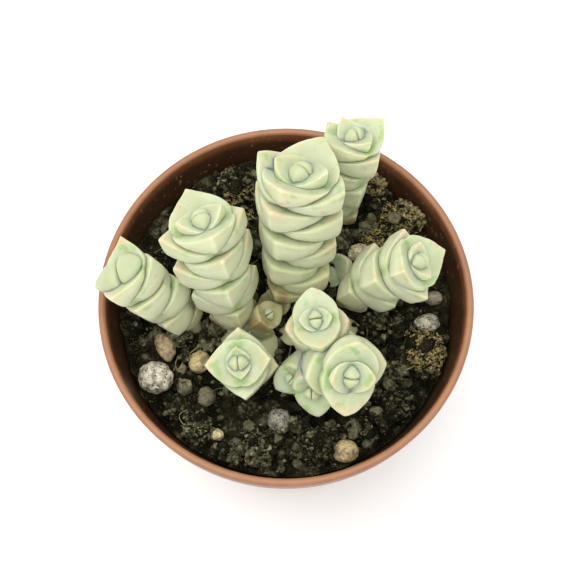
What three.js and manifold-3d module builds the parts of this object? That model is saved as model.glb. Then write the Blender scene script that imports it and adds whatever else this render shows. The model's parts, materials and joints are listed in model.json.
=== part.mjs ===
// Potted variegated jade necklace: leaning columns of fleshy leaf pairs, threaded on their stems
// like beads, in a small brown plastic nursery pot filled with dark gritty soil.
// Millimetres, +Z up, +X right, +Y back. The origin is the centre of the pot's foot, on the table.
import * as THREE from "three";
import { mergeVertices } from "three/addons/utils/BufferGeometryUtils.js";
import Module from "manifold-3d";

const wasm = await Module();
wasm.setup();

// Driving dimensions
const POT_HEIGHT = 48;
const RIM_RADIUS = 27.5;
const LIP_WIDTH = 1.15;
const COLLAR_HEIGHT = 5;
const COLLAR_TAPER = 0.55;
const BASE_RADIUS = 18.3;
const WALL = 0.9;
const FOOT_HEIGHT = 1;
const FOOT_WIDTH = 1.8;
const FLOOR = 1.2;
const POT_SIDES = 44;
const DRAIN_RADIUS = 2;
const DRAIN_CIRCLE = 10.5;
const DRAIN_HOLES = 4;
const FOOT_NOTCH = 3;
const CLEARANCE = 0.3;
const SOIL_LEVEL = 41.3;
const SOIL_SLOPE = 0.06;
const SOIL_SIDES = 30;
const SOIL_RINGS = [0.25, 0.5, 0.75];
const CRUMBS = 38;
const CRUMB_SIZES = [1.5, 3];

const up = new THREE.Vector3(0, 0, 1);

// A closed three.js geometry as a manifold-3d solid.
function solidOf(geometry) {
  const bare = geometry.clone();
  bare.deleteAttribute("normal");
  bare.deleteAttribute("uv");
  const merged = mergeVertices(bare, 1e-4);
  return new wasm.Manifold(
    new wasm.Mesh({
      numProp: 3,
      vertProperties: merged.attributes.position.array,
      triVerts: new Uint32Array(merged.index.array),
    }),
  );
}

// A manifold-3d solid as a three.js geometry.
function geometryOf(solid) {
  const { numProp, vertProperties, triVerts } = solid.getMesh();
  const interleaved = new THREE.InterleavedBuffer(vertProperties, numProp);
  const geometry = new THREE.BufferGeometry();
  geometry.setAttribute("position", new THREE.InterleavedBufferAttribute(interleaved, 3, 0));
  geometry.setIndex(new THREE.BufferAttribute(triVerts, 1));
  const flat = geometry.toNonIndexed();
  flat.computeVertexNormals();
  return flat;
}

// The largest outer skin of a solid, so hollows that a join has sealed are filled.
function filled(solid) {
  return solid.decompose().reduce((most, body) => (body.volume() > most.volume() ? body : most));
}

// A skin over rings of points with equal counts, closed at each end by a fan round a hub point.
function loft(rings, hubs = [centre(rings[0]), centre(rings[rings.length - 1])]) {
  const sides = rings[0].length;
  const points = rings.flat();
  const faces = [];
  for (let r = 0; r + 1 < rings.length; r++) {
    for (let k = 0; k < sides; k++) {
      const a = r * sides + k;
      const b = r * sides + ((k + 1) % sides);
      faces.push(a, a + sides, b, b, a + sides, b + sides);
    }
  }
  for (const [end, start] of [0, (rings.length - 1) * sides].entries()) {
    const hub = points.push(hubs[end]) - 1;
    for (let k = 0; k < sides; k++) {
      const a = start + k;
      const b = start + ((k + 1) % sides);
      faces.push(...(end ? [hub, b, a] : [hub, a, b]));
    }
  }
  return new THREE.BufferGeometry().setFromPoints(points).setIndex(faces);
}

function centre(ring) {
  return ring.reduce((sum, point) => sum.addScaledVector(point, 1 / ring.length), new THREE.Vector3());
}

// Repeatable random numbers from 0 to 1.
function randomFrom(seed) {
  let state = seed;
  return () => {
    state = (state * 1664525 + 1013904223) % 4294967296;
    return state / 4294967296;
  };
}

// Pot: one thin moulding of brown plastic, tapered, with a plain collar under a rounded lip,
// a low foot ring with notches, and drain holes through the floor.
const innerRadius = (z) => {
  const lipInner = RIM_RADIUS - LIP_WIDTH;
  const floorTop = FOOT_HEIGHT + FLOOR;
  const share = (z - floorTop) / (POT_HEIGHT - floorTop);
  return THREE.MathUtils.lerp(BASE_RADIUS - WALL, lipInner, share);
};

function pot() {
  const collarFoot = POT_HEIGHT - COLLAR_HEIGHT;
  const round = 0.35 * LIP_WIDTH;
  const profile = [
    [0, FOOT_HEIGHT],
    [BASE_RADIUS - FOOT_WIDTH, FOOT_HEIGHT],
    [BASE_RADIUS - FOOT_WIDTH, 0],
    [BASE_RADIUS, 0],
    [innerRadius(collarFoot) + WALL, collarFoot],
    [RIM_RADIUS - COLLAR_TAPER, collarFoot],
    [RIM_RADIUS, POT_HEIGHT - round],
    [RIM_RADIUS - round, POT_HEIGHT],
    [RIM_RADIUS - LIP_WIDTH + round, POT_HEIGHT],
    [innerRadius(POT_HEIGHT - 2 * round), POT_HEIGHT - 2 * round],
    [innerRadius(FOOT_HEIGHT + FLOOR), FOOT_HEIGHT + FLOOR],
    [0, FOOT_HEIGHT + FLOOR],
  ].map(([r, z]) => new THREE.Vector2(r, z));
  let body = solidOf(new THREE.LatheGeometry(profile, POT_SIDES).rotateX(Math.PI / 2));
  const drain = new THREE.CylinderGeometry(DRAIN_RADIUS, DRAIN_RADIUS, 3 * FLOOR, 16)
    .rotateX(Math.PI / 2);
  const notch = new THREE.BoxGeometry(3 * FOOT_WIDTH, FOOT_NOTCH, 1.2 * FOOT_HEIGHT);
  for (let k = 0; k < DRAIN_HOLES; k++) {
    const angle = ((k + 0.5) * 2 * Math.PI) / DRAIN_HOLES;
    const floorMiddle = FOOT_HEIGHT + FLOOR / 2;
    const hole = drain.clone().translate(DRAIN_CIRCLE, 0, floorMiddle).rotateZ(angle);
    const gap = notch.clone().translate(BASE_RADIUS - FOOT_WIDTH / 2, 0, 0).rotateZ(angle);
    body = body.subtract(solidOf(hole)).subtract(solidOf(gap));
  }
  return body;
}

// Soil surface: it climbs towards the back of the pot, in low hummocks.
function soilHeight(x, y) {
  const hummocks = 0.35 * Math.sin(0.45 * x + 1.3) * Math.cos(0.38 * y - 0.7);
  return SOIL_LEVEL + SOIL_SLOPE * y + hummocks;
}

// Shoots: each stem leans out of the middle of the pot. Its foot is where it leaves the soil and its
// top is the tip of its bud. Reach is how far a leaf tip stands out from the stem, at the lowest
// pair, at the middle of the shoot and at its head. Roll is where the head pair points, inner is
// the reach of the half open pair round the bud, and bud that of the bud, as shares of the head's.
const LEAF_WIDTH = 0.8;
const CROWDING = 1.25;
const STEM_DEPTH = 6;
const STEM_RADIUS = 1.3;
const LOWEST_PAIR = 2.6;
const OUTLINE = [
  [1, 0], [0.8, 0.4], [0.36, 0.92], [-0.36, 0.92], [-0.8, 0.4],
  [-1, 0], [-0.8, -0.4], [-0.36, -0.92], [0.36, -0.92], [0.8, -0.4],
];
// Rings of a leaf pair from the upper side round the margin to the underside: share of the outline,
// and depth below the dished upper face as a share of the pair's thickness.
const PAIR_RINGS = [[0.84, 0.02], [1, 0.17], [0.93, 0.6], [0.5, 1]];
const PAIR_HUBS = [0, 1.1];
const SEAM_RISE = 0.3;
const THINNEST = 0.4;
// Rise is how steeply leaf tips turn up: at the lowest pair, what the head adds, and the most that
// chance adds. Size and turn vary by chance too.
const RISE = [0.36, 0.1, 0.06];
const SIZES = [0.96, 1.04];
const TURN_SPREAD = 10;
// How far below the tip of the shoot the head pair, the inner pair and the middle of the bud sit,
// as shares of the head's reach, and the rise and thickness of the inner pair.
const HEAD_DROP = 0.45;
const INNER_DROP = 0.32;
const BUD_DROP = 0.28;
const INNER_RISE = 0.6;
const INNER_DEPTH = 0.24;
const BUD_REACH = 0.32;
const BUD_WIDTH = 0.76;
const BUD_HEIGHT = 0.32;

const SHOOTS = {
  stem_far_left: [
    { foot: [-14.4, -1.4], top: [-24.2, 1.9, 57], lean: 0.35, reach: [3.5, 5.4, 5.2],
      pairs: 6, roll: 96, bud: 0.72 },
  ],
  stem_left_big: [
    { foot: [-7.4, -1.2], top: [-12.2, 7.6, 64], lean: 0.4, reach: [3.8, 6.3, 6.4],
      pairs: 8, roll: 112, inner: 0.55 },
    { foot: [-5.6, -2.6], top: [-2, -1.4, 46.6], lean: 0.1, reach: [2.6, 2.9, 3],
      pairs: 2, roll: 40 },
  ],
  stem_centre: [
    { foot: [1.2, 4.2], top: [2.1, 14, 66], lean: 0.4, reach: [5.4, 6.6, 6.9],
      pairs: 9, roll: 60, inner: 0.6 },
  ],
  stem_back_right: [
    { foot: [8, 15.4], top: [10, 21.6, 60.5], lean: 0.5, reach: [3.6, 4.9, 5.4],
      pairs: 6, roll: 34, inner: 0.62 },
  ],
  stem_right: [
    { foot: [9.2, 2.4], top: [19.8, 2.8, 58], lean: 0.5, reach: [3.3, 5.5, 5.5],
      pairs: 6, roll: 24, inner: 0.5 },
  ],
  stem_front_left: [
    { foot: [-5.5, -8.6], top: [-6.9, -11.3, 54], lean: 0.5, reach: [3.6, 5.4, 4.9],
      pairs: 4, roll: 4, inner: 0.5 },
  ],
  stem_front_cluster: [
    { foot: [6.2, -6.4], top: [9.3, -14.8, 57.5], lean: 0.5, reach: [4, 5.8, 5.4],
      pairs: 4, roll: 92, inner: 0.6 },
    { foot: [5.4, -5.2], top: [4, -6, 58.5], lean: 0.5, reach: [4.2, 4.8, 4.5],
      pairs: 4, roll: 97, inner: 0.52 },
    { foot: [5.4, -7], top: [3.5, -15.8, 51.5], lean: 0.6, reach: [2.8, 3.6, 4],
      pairs: 2, roll: 95 },
    { foot: [4.6, -6.4], top: [0.3, -12.8, 48.8], lean: 0.6, reach: [2, 3, 3.3],
      pairs: 2, roll: 40 },
  ],
};

// A leaf pair: two blunt-pointed fleshy leaves grown together round the stem, dished above and
// swelling below to fill the dish of the pair underneath, which stands across it.
function leafPair(reach, rise, depth) {
  const steep = rise * (1 - SEAM_RISE);
  const rings = PAIR_RINGS.map(([share, drop]) =>
    OUTLINE.map(([along, across]) => {
      const spread = reach * share * share;
      const side = LEAF_WIDTH * across;
      const dish = spread * (rise * SEAM_RISE + steep * along * along);
      const fill = depth + spread * steep * (along * along - side * side);
      const height = dish - drop * Math.max(fill, THINNEST * depth);
      return new THREE.Vector3(along * share * reach, side * share * reach, height);
    }),
  );
  return loft(rings, PAIR_HUBS.map((drop) => new THREE.Vector3(0, 0, -drop * depth)));
}

// One of the two closed leaves of a bud: half a ball with its flat side to the slit.
function budLeaf(reach, height) {
  const slit = 0.06 * reach;
  const ball = new THREE.SphereGeometry(1, 8, 4)
    .rotateX(Math.PI / 2)
    .scale(reach, BUD_WIDTH * reach, height);
  const place = ball.attributes.position;
  for (let i = 0; i < place.count; i++) place.setX(i, Math.max(place.getX(i), slit));
  return ball;
}

function stemPath({ foot, top, lean }) {
  const start = new THREE.Vector3(...foot, soilHeight(...foot));
  const end = new THREE.Vector3(...top);
  const knee = start.clone().lerp(end, 0.5);
  const upright = start.clone().setZ(knee.z);
  return new THREE.QuadraticBezierCurve3(start, knee.lerp(upright, lean), end);
}

// The turned frame of the stem at a share of its length; roll is in degrees about the stem.
function frameAt(path, share, roll) {
  const axis = path.getTangentAt(share);
  const angle = THREE.MathUtils.degToRad(roll);
  const aim = new THREE.Vector3(Math.cos(angle), Math.sin(angle), 0);
  const across = axis.clone().cross(aim).normalize();
  const along = across.clone().cross(axis);
  return new THREE.Matrix4()
    .makeBasis(along, across, axis)
    .setPosition(path.getPointAt(share));
}

// The stem below the leaves, from its buried end up to the lowest pair.
function stalk(path, length) {
  const ends = [LOWEST_PAIR / length, 0, 0].map((share) => frameAt(path, share, 0));
  ends[2].setPosition(path.getPointAt(0).addScaledVector(path.getTangentAt(0), -STEM_DEPTH));
  return loft(
    ends.map((frame) =>
      Array.from({ length: 8 }, (_, k) => {
        const a = (k * Math.PI) / 4;
        const rim = new THREE.Vector3(Math.cos(a), Math.sin(a), 0).multiplyScalar(STEM_RADIUS);
        return rim.applyMatrix4(frame);
      }),
    ),
  );
}

function shoot(plan, seed) {
  const random = randomFrom(seed);
  const { lerp } = THREE.MathUtils;
  const path = stemPath(plan);
  const length = path.getLength();
  const [low, middle, high] = plan.reach;
  const shareBelowTip = (drop) => 1 - (drop * high) / length;
  const first = LOWEST_PAIR / length;
  const last = shareBelowTip(HEAD_DROP);
  const placeOf = (climb) => last - (last - first) * (1 - climb) ** CROWDING;
  const pieces = [stalk(path, length)];
  for (let i = 0; i < plan.pairs; i++) {
    const climb = i / (plan.pairs - 1);
    const plain = climb < 0.5 ? lerp(low, middle, 2 * climb) : lerp(middle, high, 2 * climb - 1);
    const reach = plain * lerp(...SIZES, random());
    const roll = plan.roll + 90 * (plan.pairs - 1 - i) + TURN_SPREAD * (random() - 0.5);
    const rise = RISE[0] + RISE[1] * climb + RISE[2] * random();
    const place = placeOf(climb);
    const below = i > 0 ? placeOf(climb - 1 / (plan.pairs - 1)) : 0.3 * first;
    const depth = (place - below) * length;
    pieces.push(leafPair(reach, rise, depth).applyMatrix4(frameAt(path, place, roll)));
  }
  if (plan.inner) {
    const frame = frameAt(path, shareBelowTip(INNER_DROP), plan.roll + 90);
    const pair = leafPair(plan.inner * high, INNER_RISE, INNER_DEPTH * high);
    pieces.push(pair.applyMatrix4(frame));
  }
  const crown = frameAt(path, shareBelowTip(BUD_DROP), plan.roll + (plan.inner ? 0 : 90));
  const reach = (plan.bud ?? BUD_REACH) * high;
  for (const turn of [0, Math.PI]) {
    pieces.push(budLeaf(reach, BUD_HEIGHT * high).rotateZ(turn).applyMatrix4(crown));
  }
  return wasm.Manifold.union(pieces.map(solidOf));
}

function leafyStem(plans, seed) {
  return filled(wasm.Manifold.union(plans.map((plan, k) => shoot(plan, seed + k))));
}

// The plain hole that a stem stands in, cut from above the soil.
const DRILL_START = 4;

function stemHole(plan) {
  const path = stemPath(plan);
  const axis = path.getTangentAt(0);
  const radius = STEM_RADIUS + CLEARANCE;
  const depth = STEM_DEPTH + CLEARANCE;
  const above = DRILL_START;
  const hole = new THREE.CylinderGeometry(radius, radius, depth + above, 8).rotateX(Math.PI / 2);
  hole.translate(0, 0, (above - depth) / 2);
  const turn = new THREE.Quaternion().setFromUnitVectors(up, axis);
  return hole.applyQuaternion(turn).translate(...path.getPointAt(0));
}

// Soil: damp dark compost with grit. Clods and crumbs are lumps of the same soil, so they are
// fused to it.
// Middle, width and depth of each large clod.
const CLODS = [
  [-13.2, -17.6, 4.6, 4.2], [-4.1, -20.6, 5, 5.2], [4.4, -20.2, 5.6, 5], [21, -6.4, 5, 6.8],
  [18, 15, 7.6, 5], [13.6, 20.6, 3, 5], [-7.6, 19.6, 7, 6.4], [-15.8, -3.6, 3.6, 2.8],
  [16.6, -2.2, 2.6, 2.4], [10.2, -17, 4.2, 3.2], [-20.6, 6.4, 4, 5], [16.4, -13.8, 4.2, 4.6],
];

// Pumice and grit stones: middle, size over all, turn in degrees, and colour.
const STONES = {
  pumice_left: { at: [-19.3, -10], size: [5.2, 5, 4.2], color: 0xb9ae98 },
  pumice_front: { at: [-1, -16.4], size: [3.5, 3.7, 3], color: 0x8f8a78 },
  pumice_right: { at: [21.1, -1.6], size: [3.9, 2.8, 2.8], color: 0xb5ab97 },
  pumice_back: { at: [11, 9.4], size: [4.6, 2.6, 2.4], turn: 10, color: 0xbdb190 },
  grit_left: { at: [-18, -5.2], size: [2.8, 4.8, 2.8], turn: 24, color: 0xa08a66 },
  grit_inner_left: { at: [-12.9, -7.4], size: [3.4, 3.6, 2.8], color: 0xa79263 },
  grit_dark: { at: [-11.8, -12.8], size: [2.9, 3.1, 2.6], color: 0x6b6350 },
  grit_yellow: { at: [-10.2, -18.4], size: [2.3, 1.9, 1.8], color: 0xc2b58a },
  grit_front: { at: [-5.2, -22], size: [1.9, 1.8, 1.6], color: 0xa3835c },
  grit_front_right: { at: [8.7, -20.9], size: [3.8, 3.5, 2.8], color: 0x9d8354 },
  grit_right: { at: [22.2, 2.4], size: [3, 2.2, 2.2], color: 0x8d8570 },
};

// How far the middle of a stone stands above the soil, as a share of its height.
const STONE_LIFT = 0.12;
// Height of a lump of soil as a share of its width.
const LUMP_HEIGHT = 0.8;
// How far a lump's corners stand out, as shares of its radius.
const ROUGHNESS = [0.92, 1.08];

// A rough lump: a ball of small flat faces, each corner pushed in or out a little.
function lump(size, detail, random) {
  const ball = new THREE.IcosahedronGeometry(0.5, detail);
  ball.deleteAttribute("normal");
  ball.deleteAttribute("uv");
  const rough = mergeVertices(ball, 1e-4);
  const place = rough.attributes.position;
  const corner = new THREE.Vector3();
  for (let i = 0; i < place.count; i++) {
    corner.fromBufferAttribute(place, i).multiplyScalar(THREE.MathUtils.lerp(...ROUGHNESS, random()));
    place.setXYZ(i, ...corner);
  }
  return rough.scale(...size);
}

function stone({ at, size, turn = 0 }, seed, grow = 0) {
  const sizes = size.map((side) => side + 2 * grow);
  const height = soilHeight(...at) + STONE_LIFT * size[2];
  const angle = THREE.MathUtils.degToRad(turn);
  return lump(sizes, 1, randomFrom(seed)).rotateZ(angle).translate(...at, height);
}

// Whether a lump at a place in the soil is clear of the lowest leaves and of the stones.
function isFree(x, y, radius) {
  const feet = Object.values(SHOOTS).flat();
  const clearOfShoots = feet.every(({ foot, reach }) => {
    return Math.hypot(x - foot[0], y - foot[1]) > reach[0] + radius + 2 * CLEARANCE;
  });
  const clearOfStones = Object.values(STONES).every(({ at, size }) => {
    return Math.hypot(x - at[0], y - at[1]) > size[0] / 2 + radius;
  });
  return clearOfShoots && clearOfStones;
}

function soil() {
  const bed = FOOT_HEIGHT + FLOOR + CLEARANCE;
  const wall = (z) => innerRadius(z) - CLEARANCE;
  const ring = (radius, height) =>
    Array.from({ length: SOIL_SIDES }, (_, k) => {
      const angle = (2 * Math.PI * k) / SOIL_SIDES;
      const x = radius * Math.cos(angle);
      const y = radius * Math.sin(angle);
      return new THREE.Vector3(x, y, height ?? soilHeight(x, y));
    });
  const top = wall(SOIL_LEVEL + 1);
  const brim = 1.1 * top;
  const rings = [...SOIL_RINGS.map((share) => share * top), brim].map((radius) => ring(radius));
  const fill = solidOf(loft([...rings, ring(brim, 0.9 * bed)]));
  const random = randomFrom(5);
  const lumps = CLODS.map(([x, y, width, depth]) => {
    const height = LUMP_HEIGHT * Math.min(width, depth);
    return lump([width, depth, height], 1, random).translate(x, y, soilHeight(x, y));
  });
  while (lumps.length < CLODS.length + CRUMBS) {
    const size = THREE.MathUtils.lerp(...CRUMB_SIZES, random() ** 2);
    const radius = top * Math.sqrt(random());
    const angle = 2 * Math.PI * random();
    const x = radius * Math.cos(angle);
    const y = radius * Math.sin(angle);
    if (isFree(x, y, size / 2)) {
      const narrow = LUMP_HEIGHT * size;
      const turned = lump([size, narrow, narrow], 0, random).rotateZ(angle);
      lumps.push(turned.translate(x, y, soilHeight(x, y)));
    }
  }
  const high = POT_HEIGHT;
  const inside = solidOf(
    new THREE.CylinderGeometry(wall(high), wall(bed), high - bed, SOIL_SIDES)
      .rotateX(Math.PI / 2)
      .translate(0, 0, (high + bed) / 2),
  );
  const heap = wasm.Manifold.union([fill, ...lumps.map(solidOf)]).intersect(inside);
  const pockets = Object.values(STONES).map((plan, k) => solidOf(stone(plan, k + 1, CLEARANCE)));
  const holes = Object.values(SHOOTS).flat().map((plan) => solidOf(stemHole(plan)));
  return filled(heap.subtract(wasm.Manifold.union([...pockets, ...holes])));
}

const group = new THREE.Group();
function add(name, solid, color, roughness) {
  const material = new THREE.MeshStandardMaterial({ color, roughness, metalness: 0 });
  const mesh = new THREE.Mesh(geometryOf(solid), material);
  mesh.name = name;
  group.add(mesh);
}

add("pot", pot(), 0xa5623c, 0.45);
Object.entries(SHOOTS).forEach(([name, plans], k) => {
  add(name, leafyStem(plans, 11 + 10 * k), 0xd8e0bd, 0.5);
});

add("soil", soil(), 0x2f2a22, 0.95);
Object.entries(STONES).forEach(([name, plan], k) => {
  add(name, solidOf(stone(plan, k + 1)), plan.color, 0.9);
});

export default group;
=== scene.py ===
import json
import math

import bpy
import numpy as np
from mathutils import Matrix, Vector

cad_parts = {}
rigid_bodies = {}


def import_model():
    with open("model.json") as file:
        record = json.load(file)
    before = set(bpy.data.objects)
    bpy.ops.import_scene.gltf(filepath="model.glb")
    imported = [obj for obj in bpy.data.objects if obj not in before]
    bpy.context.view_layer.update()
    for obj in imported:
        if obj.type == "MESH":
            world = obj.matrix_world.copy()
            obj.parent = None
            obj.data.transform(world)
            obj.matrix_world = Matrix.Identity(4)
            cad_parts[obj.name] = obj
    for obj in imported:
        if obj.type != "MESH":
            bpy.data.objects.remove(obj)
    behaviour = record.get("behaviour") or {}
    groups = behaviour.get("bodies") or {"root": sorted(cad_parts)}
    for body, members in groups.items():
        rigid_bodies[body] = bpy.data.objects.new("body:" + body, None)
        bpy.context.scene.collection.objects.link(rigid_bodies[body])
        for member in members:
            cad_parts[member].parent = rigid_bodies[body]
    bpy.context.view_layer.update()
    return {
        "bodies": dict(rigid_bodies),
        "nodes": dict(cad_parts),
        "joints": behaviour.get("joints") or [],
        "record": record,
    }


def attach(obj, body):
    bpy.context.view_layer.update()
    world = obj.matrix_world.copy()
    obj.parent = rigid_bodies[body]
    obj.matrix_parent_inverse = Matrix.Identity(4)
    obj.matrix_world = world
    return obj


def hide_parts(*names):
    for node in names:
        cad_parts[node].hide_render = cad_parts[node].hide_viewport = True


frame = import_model()

# Camera: about 230 mm from the plant, over the front of the pot, looking down at 72 degrees. The
# photo's ground is overexposed, and the plain Standard view lets white reach white here too.
MM = 0.001
EYE = Vector((0, -70.76, 266.84)) * MM
AIM = Vector((0.28, 1.63, 48.53)) * MM
PHOTO_PIXELS = 576
FOCAL_PIXELS = 1574.2
SENSOR_WIDTH = 36

bpy.ops.object.camera_add(location=EYE)
camera = bpy.context.object
camera.name = "camera"
camera.data.sensor_width = SENSOR_WIDTH
camera.data.lens = FOCAL_PIXELS * SENSOR_WIDTH / PHOTO_PIXELS
camera.data.clip_start = 10 * MM
ahead = (AIM - EYE).normalized()
right = (Vector((1, 0, 0)) - ahead * ahead.x).normalized()
turned_camera = Matrix((right, right.cross(ahead), -ahead)).transposed().to_4x4()
camera.matrix_world = Matrix.Translation(EYE) @ turned_camera
bpy.context.scene.camera = camera
bpy.context.scene.view_settings.view_transform = "Standard"

# Pot: one thin moulding of brown polypropylene, tapered, with a plain collar under a rounded lip.
# A foot ring with four notches lets the water out of four drain holes; a nub marks the mould's gate.
POT_HEIGHT = 48
RIM_RADIUS = 27.5
LIP_WIDTH = 1.15
COLLAR_HEIGHT = 5
COLLAR_TAPER = 0.55
BASE_RADIUS = 18.3
WALL = 0.9
FOOT_HEIGHT = 1
FOOT_WIDTH = 1.8
FLOOR = 1.2
DRAIN_RADIUS = 2
DRAIN_CIRCLE = 10.5
DRAIN_HOLES = 4
FOOT_NOTCH = 3
EDGE_ROUND = 0.15
GATE_RADIUS = 0.8
GATE_HEIGHT = 0.3
POT_SIDES = 128
POT_BROWN = (0.25, 0.090, 0.038, 1)
POT_WORN_AND_LIT = (0.46, 0.25, 0.13, 1)
POT_DARK = (0.18, 0.058, 0.025, 1)
POT_DAMP_AND_SHADE = (0.032, 0.014, 0.005, 1)
LIME = (0.62, 0.50, 0.38, 1)


def inner_radius(height):
    """Radius of the pot's inner wall at a height, in millimetres."""
    floor_top = FOOT_HEIGHT + FLOOR
    share = (height - floor_top) / (POT_HEIGHT - floor_top)
    foot = BASE_RADIUS - WALL
    return foot + share * (RIM_RADIUS - LIP_WIDTH - foot)


def only(thing):
    """Selects one object and makes it active."""
    bpy.ops.object.select_all(action="DESELECT")
    thing.select_set(True)
    bpy.context.view_layer.objects.active = thing


def turned(name, profile, sides):
    """A closed round body: a disc whose rim is extruded and resized along a profile of radii and
    heights."""
    bpy.ops.object.select_all(action="DESELECT")
    radius, height = profile[0]
    bpy.ops.mesh.primitive_circle_add(vertices=sides, radius=radius, fill_type="TRIFAN")
    body = bpy.context.object
    body.name = name
    bpy.ops.object.mode_set(mode="EDIT")
    bpy.ops.transform.translate(value=(0, 0, height))
    bpy.ops.mesh.select_mode(type="EDGE")
    bpy.ops.mesh.select_all(action="DESELECT")
    bpy.ops.mesh.select_non_manifold()
    for wider, higher in profile[1:]:
        bpy.ops.mesh.extrude_region()
        growth = wider / radius
        bpy.ops.transform.resize(value=(growth, growth, 1), center_override=(0, 0, 0))
        bpy.ops.transform.translate(value=(0, 0, higher - height))
        radius, height = wider, higher
    bpy.ops.mesh.extrude_region()
    bpy.ops.mesh.merge(type="CENTER")
    bpy.ops.mesh.select_all(action="SELECT")
    bpy.ops.mesh.normals_make_consistent(inside=False)
    bpy.ops.object.mode_set(mode="OBJECT")
    return body


def modified(thing, kind, **settings):
    """Gives an object a modifier and applies it."""
    only(thing)
    modifier = thing.modifiers.new(kind, kind)
    for name, value in settings.items():
        setattr(modifier, name, value)
    bpy.ops.object.modifier_apply(modifier=modifier.name)


def joined(name, things):
    """Joins objects in one, with its origin at the frame's origin."""
    bpy.ops.object.select_all(action="DESELECT")
    for thing in things:
        thing.select_set(True)
    bpy.context.view_layer.objects.active = things[0]
    if len(things) > 1:
        bpy.ops.object.join()
    bpy.ops.object.transform_apply(location=True, rotation=True, scale=True)
    things[0].name = name
    return things[0]


class Field:
    """A value that varies over a surface. Sums and products of fields add Math nodes."""

    def __init__(self, tree, socket):
        self.tree = tree
        self.socket = socket

    def node(self, kind, values, output=0, stops=(), **settings):
        """Adds any other node: its settings, then the values or links of its sockets, by name or
        number."""
        made = self.tree.nodes.new(kind)
        for name, value in settings.items():
            setattr(made, name, value)
        for k, (place, colour) in enumerate(stops):
            spot = made.color_ramp.elements[k] if k < 2 else made.color_ramp.elements.new(place)
            spot.position = place
            spot.color = colour
        for key, value in values.items():
            if isinstance(value, Field):
                self.tree.links.new(value.socket, made.inputs[key])
            else:
                made.inputs[key].default_value = value
        return Field(self.tree, made.outputs[output])

    def math(self, operation, first, second):
        return self.node("ShaderNodeMath", {0: first, 1: second}, operation=operation)

    def __add__(self, other):
        return self.math("ADD", self, other)

    def __sub__(self, other):
        return self.math("SUBTRACT", self, other)

    def __rsub__(self, other):
        return self.math("SUBTRACT", other, self)

    def __mul__(self, other):
        return self.math("MULTIPLY", self, other)

    __radd__ = __add__
    __rmul__ = __mul__


def new_finish(name, constants):
    """A material with constants on its shader's sockets: the material, its shader and its object
    coordinates."""
    material = bpy.data.materials.new(name)
    material.use_nodes = True
    tree = material.node_tree
    shader = tree.nodes["Principled BSDF"]
    for socket, value in constants.items():
        shader.inputs[socket].default_value = value
    return material, shader, Field(tree, tree.nodes.new("ShaderNodeTexCoord").outputs["Object"])


def speckle(place, size, detail=3, stretch=(1, 1, 1)):
    """Noise with features of a size in millimetres, from 0 to 1."""
    scaled = place.node("ShaderNodeVectorMath", {0: place, 1: stretch}, operation="MULTIPLY")
    values = {"Vector": scaled, "Scale": 1 / (size * MM), "Detail": detail}
    return place.node("ShaderNodeTexNoise", values)


def ease(field, low, high):
    """0 below low, 1 above high, and smooth between."""
    values = {0: field, 1: low, 2: high}
    return field.node("ShaderNodeMapRange", values, interpolation_type="SMOOTHSTEP")


def blended(mask, under, over):
    """A colour that goes from under to over as the mask goes from 0 to 1."""
    values = {0: mask, 6: under, 7: over}
    return mask.node("ShaderNodeMix", values, output=2, data_type="RGBA")


def painted(shader, socket, field):
    field.tree.links.new(field.socket, shader.inputs[socket])


def bumped(shader, height, depth):
    """Relief from a height of 0 to 1 that stands depth millimetres high."""
    values = {"Height": height, "Distance": depth * MM, "Strength": 1}
    painted(shader, "Normal", height.node("ShaderNodeBump", values))


def pot_plastic():
    constants = {"IOR": 1.49, "Specular IOR Level": 0.4, "Subsurface Weight": 0.06}
    material, shader, place = new_finish("pot plastic", constants)
    shader.inputs["Subsurface Scale"].default_value = 1.5 * MM
    shader.inputs["Subsurface Radius"].default_value = (1, 0.35, 0.15)
    height = place.node("ShaderNodeSeparateXYZ", {0: place}, output=2)
    level = place.node("ShaderNodeVectorMath", {0: place, 1: (1, 1, 0)}, operation="MULTIPLY")
    radius = level.node("ShaderNodeVectorMath", {0: level}, output=1, operation="LENGTH")
    spread = (RIM_RADIUS - LIP_WIDTH - BASE_RADIUS + WALL) / (POT_HEIGHT - FOOT_HEIGHT - FLOOR)
    wall = radius - height * spread
    middle = (RIM_RADIUS - LIP_WIDTH + 0.4 * WALL - POT_HEIGHT * spread) * MM
    below_lip = 1 - ease(height, 45.4 * MM, 47.5 * MM)
    inside = (1 - ease(wall, middle - 0.1 * MM, middle + 0.1 * MM)) * below_lip
    streaks = speckle(place, 1.2, 4, (1, 1, 0.08))
    cloud = speckle(place, 6)
    fleck = speckle(place, 0.55, 2)
    lip = ease(height, 47.3 * MM, 47.95 * MM)
    splash = ease(fleck, 0.66, 0.72) * ease(height, 40.5 * MM, 42 * MM) * (1 - lip)
    foot_dust = (1 - ease(height, 1 * MM, 9 * MM)) * ease(cloud, 0.42, 0.66)
    colour = blended(ease(cloud, 0.3, 0.7), POT_BROWN, POT_DARK)
    colour = blended(ease(streaks, 0.45, 0.75) * 0.12, colour, POT_WORN_AND_LIT)
    # The top of the lip is painted lighter, a painted highlight; the faint streaks in the same colour
    # are wear.
    colour = blended(lip * 0.4, colour, POT_WORN_AND_LIT)
    # The inner wall below the lip is painted near black: partly a damp stain, partly painted shade
    # inside the pot.
    colour = blended(inside * 0.9, colour, POT_DAMP_AND_SHADE)
    colour = blended(splash * 0.4 + foot_dust * 0.35, colour, LIME)
    painted(shader, "Base Color", colour)
    painted(shader, "Roughness", 0.34 + 0.16 * streaks + 0.3 * splash)
    bumped(shader, streaks * 0.5 + speckle(place, 0.25) * 0.5, 0.03)
    return material


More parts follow.
